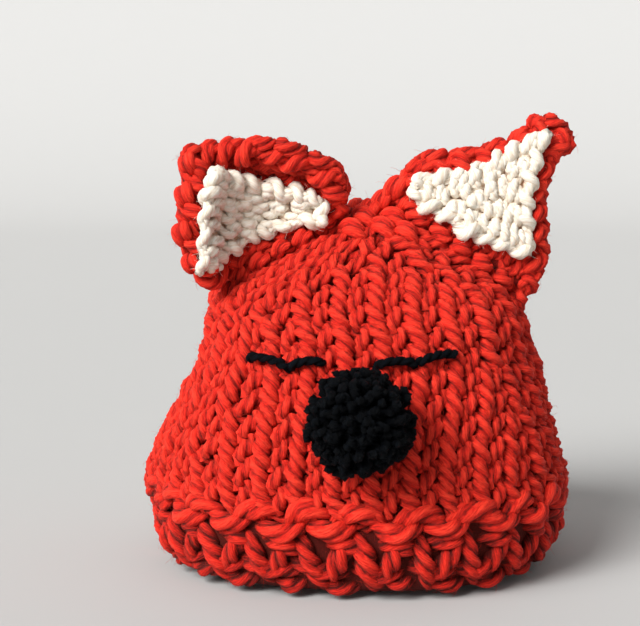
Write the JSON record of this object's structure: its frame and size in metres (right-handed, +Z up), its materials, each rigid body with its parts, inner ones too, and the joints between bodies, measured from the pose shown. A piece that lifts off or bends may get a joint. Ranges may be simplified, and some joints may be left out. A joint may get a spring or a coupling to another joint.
{
  "type": "tea cosy",
  "caption": "Hollow knitted tea cosy with a sleepy animal's face, standing on its garter hem, with a spout slit, a handle slit, cupped ears and a pompom nose.",
  "frame": {"origin": "middle of the box round the whole cosy, on the surface that its hem stands on", "axes": "+Z up, -Y the way the face looks, +X to the right of someone who looks at the face: the spout slit is at -X and the handle slit at +X"},
  "size_m": [0.1781, 0.1937, 0.187],
  "materials": {
    "red_wool": "chunky orange-red plied wool, matt with a soft halo of fibres",
    "cream_wool": "thinner cream plied wool, matt",
    "black_wool": "black plied wool with a faint blue sheen"
  },
  "bodies": {
    "root": {"front_panel": "red_wool", "back_panel": "red_wool", "ear_left": "red_wool", "ear_right": "red_wool", "inner_ear_left": "cream_wool", "inner_ear_right": "cream_wool", "eye_left": "black_wool", "eye_right": "black_wool", "nose_pompom": "black_wool"}
  },
  "joints": []
}
